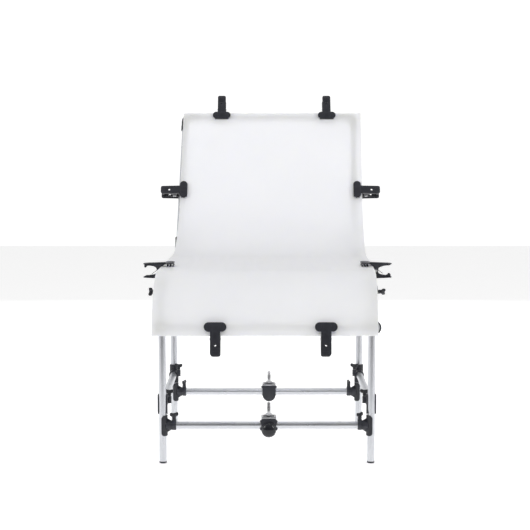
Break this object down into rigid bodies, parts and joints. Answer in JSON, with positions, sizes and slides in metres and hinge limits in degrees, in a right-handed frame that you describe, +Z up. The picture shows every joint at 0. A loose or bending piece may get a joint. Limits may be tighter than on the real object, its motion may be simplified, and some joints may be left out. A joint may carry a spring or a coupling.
{
  "type": "photography shooting table",
  "caption": "Freestanding product photography table: tube stand, hinged tube back, one curved white sheet clipped over both, and light holders sliding on the lower crossbars.",
  "frame": {"origin": "on the floor, under the middle of the object's box, 12 mm to the right of the halfway plane between the left and right legs", "axes": "+X to the right as seen by someone standing at the front edge, +Y from the front edge to the back, +Z up"},
  "size_m": [0.7264, 1.0692, 1.0231],
  "materials": {
    "sheet": "white translucent plastic sheet, satin",
    "aluminium": "clear anodised drawn tube, satin",
    "plastic": "black moulded nylon, fine satin texture"
  },
  "bodies": {
    "base": {"leg_front_left": "aluminium", "tee_leg_front_left": "plastic", "leg_front_right": "aluminium", "tee_leg_front_right": "plastic", "leg_rear_left": "aluminium", "tee_leg_rear_left": "plastic", "leg_rear_right": "aluminium", "tee_leg_rear_right": "plastic", "side_tube_left": "aluminium", "side_tube_right": "aluminium", "lip_bar": "aluminium", "sheet_front": "sheet", "clamp_front_left_fixed": "plastic", "clamp_table_left_fixed": "plastic", "clamp_front_right_fixed": "plastic", "clamp_table_right_fixed": "plastic"},
    "back": {"back_tube_left": "aluminium", "back_tube_right": "aluminium", "top_bar": "aluminium", "sheet_back": "sheet", "clamp_back_left_fixed": "plastic", "clamp_top_left_fixed": "plastic", "clamp_back_right_fixed": "plastic", "clamp_top_right_fixed": "plastic"},
    "crossbar_front": {"crossbar_front": "aluminium", "tee_crossbar_front_left": "plastic", "tee_crossbar_front_right": "plastic"},
    "crossbar_rear": {"crossbar_rear": "aluminium", "tee_crossbar_rear_left": "plastic", "tee_crossbar_rear_right": "plastic"},
    "rail_left": {"rail_left": "aluminium", "tee_rail_front_left": "plastic", "tee_rail_rear_left": "plastic"},
    "rail_right": {"rail_right": "aluminium", "tee_rail_front_right": "plastic", "tee_rail_rear_right": "plastic"},
    "holder_front": {"holder_front": "plastic"},
    "holder_knob_front": {"holder_knob_front": "plastic"},
    "holder_rear": {"holder_rear": "plastic"},
    "holder_knob_rear": {"holder_knob_rear": "plastic"},
    "knob_leg_front_left": {"knob_leg_front_left": "plastic"},
    "knob_hinge_left": {"knob_hinge_left": "plastic"},
    "knob_rail_front_left": {"knob_rail_front_left": "plastic"},
    "knob_rail_rear_left": {"knob_rail_rear_left": "plastic"},
    "knob_crossbar_front_left": {"knob_crossbar_front_left": "plastic"},
    "knob_crossbar_rear_left": {"knob_crossbar_rear_left": "plastic"},
    "knob_leg_front_right": {"knob_leg_front_right": "plastic"},
    "knob_hinge_right": {"knob_hinge_right": "plastic"},
    "knob_rail_front_right": {"knob_rail_front_right": "plastic"},
    "knob_rail_rear_right": {"knob_rail_rear_right": "plastic"},
    "knob_crossbar_front_right": {"knob_crossbar_front_right": "plastic"},
    "knob_crossbar_rear_right": {"knob_crossbar_rear_right": "plastic"},
    "clamp_front_left_jaw": {"clamp_front_left_jaw": "plastic"},
    "clamp_table_left_jaw": {"clamp_table_left_jaw": "plastic"},
    "clamp_back_left_jaw": {"clamp_back_left_jaw": "plastic"},
    "clamp_top_left_jaw": {"clamp_top_left_jaw": "plastic"},
    "clamp_front_right_jaw": {"clamp_front_right_jaw": "plastic"},
    "clamp_table_right_jaw": {"clamp_table_right_jaw": "plastic"},
    "clamp_back_right_jaw": {"clamp_back_right_jaw": "plastic"},
    "clamp_top_right_jaw": {"clamp_top_right_jaw": "plastic"}
  },
  "joints": [
    {"name": "back_tilt", "type": "hinge", "parent": "base", "child": "back", "pos_m": [-0.01225, 0.25134, 0.50674], "axis": [1, 0, 0], "range_deg": [-62, 28]},
    {"name": "crossbar_front_lift", "type": "slide", "parent": "base", "child": "crossbar_front", "axis": [0, 0, 1], "range_m": [-0.06, 0]},
    {"name": "crossbar_rear_lift", "type": "slide", "parent": "base", "child": "crossbar_rear", "axis": [0, 0, 1], "range_m": [-0.06, 0]},
    {"name": "rail_left_lift", "type": "slide", "parent": "base", "child": "rail_left", "axis": [0, 0, 1], "range_m": [0, 0.2]},
    {"name": "rail_right_lift", "type": "slide", "parent": "base", "child": "rail_right", "axis": [0, 0, 1], "range_m": [0, 0.2]},
    {"name": "holder_front_slide", "type": "slide", "parent": "crossbar_front", "child": "holder_front", "axis": [1, 0, 0], "range_m": [-0.2, 0.2]},
    {"name": "holder_knob_front_turn", "type": "hinge", "parent": "holder_front", "child": "holder_knob_front", "pos_m": [-0.00725, -0.42507, 0.097], "axis": [0, -1, 0], "continuous": true},
    {"name": "holder_rear_slide", "type": "slide", "parent": "crossbar_rear", "child": "holder_rear", "axis": [1, 0, 0], "range_m": [-0.2, 0.2]},
    {"name": "holder_knob_rear_turn", "type": "hinge", "parent": "holder_rear", "child": "holder_knob_rear", "pos_m": [-0.00425, 0.01193, 0.097], "axis": [0, 1, 0], "continuous": true},
    {"name": "knob_leg_front_left_turn", "type": "hinge", "parent": "base", "child": "knob_leg_front_left", "pos_m": [-0.33175, -0.42507, 0.47257], "axis": [-1, 0, 0], "continuous": true},
    {"name": "knob_hinge_left_turn", "type": "hinge", "parent": "base", "child": "knob_hinge_left", "pos_m": [-0.28175, 0.25134, 0.50674], "axis": [1, 0, 0], "continuous": true},
    {"name": "knob_rail_front_left_turn", "type": "hinge", "parent": "rail_left", "child": "knob_rail_front_left", "pos_m": [-0.28075, -0.39407, 0.19], "axis": [0, 0, 1], "continuous": true},
    {"name": "knob_rail_rear_left_turn", "type": "hinge", "parent": "rail_left", "child": "knob_rail_rear_left", "pos_m": [-0.28075, -0.01907, 0.19], "axis": [0, 0, 1], "continuous": true},
    {"name": "knob_crossbar_front_left_turn", "type": "hinge", "parent": "crossbar_front", "child": "knob_crossbar_front_left", "pos_m": [-0.26575, -0.42507, 0.13], "axis": [0, 0, 1], "continuous": true},
    {"name": "knob_crossbar_rear_left_turn", "type": "hinge", "parent": "crossbar_rear", "child": "knob_crossbar_rear_left", "pos_m": [-0.26575, 0.01193, 0.13], "axis": [0, 0, 1], "continuous": true},
    {"name": "knob_leg_front_right_turn", "type": "hinge", "parent": "base", "child": "knob_leg_front_right", "pos_m": [0.30725, -0.42507, 0.47257], "axis": [1, 0, 0], "continuous": true},
    {"name": "knob_hinge_right_turn", "type": "hinge", "parent": "base", "child": "knob_hinge_right", "pos_m": [0.25725, 0.25134, 0.50674], "axis": [-1, 0, 0], "continuous": true},
    {"name": "knob_rail_front_right_turn", "type": "hinge", "parent": "rail_right", "child": "knob_rail_front_right", "pos_m": [0.25625, -0.39407, 0.19], "axis": [0, 0, 1], "continuous": true},
    {"name": "knob_rail_rear_right_turn", "type": "hinge", "parent": "rail_right", "child": "knob_rail_rear_right", "pos_m": [0.25625, -0.01907, 0.19], "axis": [0, 0, 1], "continuous": true},
    {"name": "knob_crossbar_front_right_turn", "type": "hinge", "parent": "crossbar_front", "child": "knob_crossbar_front_right", "pos_m": [0.24125, -0.42507, 0.13], "axis": [0, 0, 1], "continuous": true},
    {"name": "knob_crossbar_rear_right_turn", "type": "hinge", "parent": "crossbar_rear", "child": "knob_crossbar_rear_right", "pos_m": [0.24125, 0.01193, 0.13], "axis": [0, 0, 1], "continuous": true},
    {"name": "clamp_front_left_open", "type": "hinge", "parent": "base", "child": "clamp_front_left_jaw", "pos_m": [-0.14925, -0.50405, 0.35582], "axis": [-1, 0, 0], "range_deg": [0, 18], "stiffness_Nm_per_rad": 0.8, "springref_deg": -34.38},
    {"name": "clamp_table_left_open", "type": "hinge", "parent": "base", "child": "clamp_table_left_jaw", "pos_m": [-0.31825, -0.23807, 0.50994], "axis": [0, 1, 0], "range_deg": [0, 18], "stiffness_Nm_per_rad": 0.8, "springref_deg": -34.38},
    {"name": "clamp_back_left_open", "type": "hinge", "parent": "back", "child": "clamp_back_left_jaw", "pos_m": [-0.31475, 0.35228, 0.7034], "axis": [0, 0.4695, 0.8829], "range_deg": [0, 18], "stiffness_Nm_per_rad": 0.8, "springref_deg": -34.38},
    {"name": "clamp_top_left_open", "type": "hinge", "parent": "back", "child": "clamp_top_left_jaw", "pos_m": [-0.16225, 0.49664, 0.97491], "axis": [1, 0, 0], "range_deg": [0, 18], "stiffness_Nm_per_rad": 0.8, "springref_deg": -34.38},
    {"name": "clamp_front_right_open", "type": "hinge", "parent": "base", "child": "clamp_front_right_jaw", "pos_m": [0.14375, -0.50405, 0.35582], "axis": [-1, 0, 0], "range_deg": [0, 18], "stiffness_Nm_per_rad": 0.8, "springref_deg": -34.38},
    {"name": "clamp_table_right_open", "type": "hinge", "parent": "base", "child": "clamp_table_right_jaw", "pos_m": [0.29825, -0.23807, 0.50994], "axis": [0, -1, 0], "range_deg": [0, 18], "stiffness_Nm_per_rad": 0.8, "springref_deg": -34.38},
    {"name": "clamp_back_right_open", "type": "hinge", "parent": "back", "child": "clamp_back_right_jaw", "pos_m": [0.31825, 0.35228, 0.7034], "axis": [0, -0.4695, -0.8829], "range_deg": [0, 18], "stiffness_Nm_per_rad": 0.8, "springref_deg": -34.38},
    {"name": "clamp_top_right_open", "type": "hinge", "parent": "back", "child": "clamp_top_right_jaw", "pos_m": [0.19275, 0.49664, 0.97491], "axis": [1, 0, 0], "range_deg": [0, 18], "stiffness_Nm_per_rad": 0.8, "springref_deg": -34.38}
  ]
}
